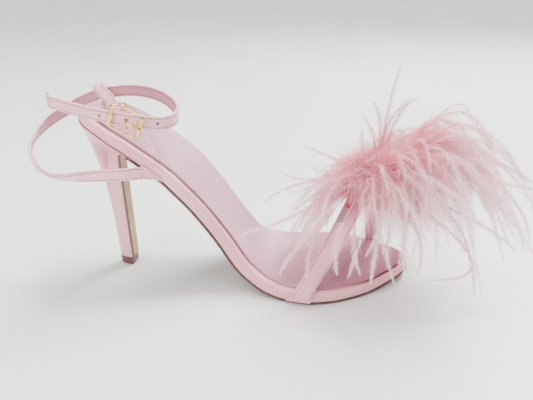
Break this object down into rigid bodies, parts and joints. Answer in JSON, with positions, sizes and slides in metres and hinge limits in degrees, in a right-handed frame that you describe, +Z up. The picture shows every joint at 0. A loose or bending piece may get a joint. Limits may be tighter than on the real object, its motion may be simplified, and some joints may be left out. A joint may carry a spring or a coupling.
{
  "type": "high heel sandal",
  "caption": "Right-foot stiletto heel sandal with a diagonal toe strap under a long feather tuft, a buckled ankle strap, a wrapped insole board, a sock lining and an outsole.",
  "frame": {"origin": "middle of the top piece's underside, on the floor below the stiletto heel", "axes": "+X towards the toe, +Y towards the inner (medial) side, +Z up, floor at Z = 0"},
  "size_m": [0.3199, 0.1283, 0.1183],
  "materials": {
    "outsole": "matte brown edge, tan face",
    "wrap": "smooth pale pink, satin",
    "strap": "smooth pale pink, satin, stitched",
    "sock": "mauve pink, soft satin",
    "breast": "tan, matte",
    "top_piece": "brown, matte",
    "buckle": "pale gold, polished",
    "feather": "pale pink feather barbs, deeper pink towards the tied core"
  },
  "bodies": {
    "root": {"outsole": "outsole", "insole_board": "wrap", "sock_lining": "sock", "heel": "wrap", "heel_breast": "breast", "top_piece": "top_piece", "toe_strap": "strap", "ankle_strap_long": "strap", "ankle_strap_buckle": "strap", "buckle_frame": "buckle", "buckle_prong": "buckle", "feather_pompom": "feather"}
  },
  "joints": []
}
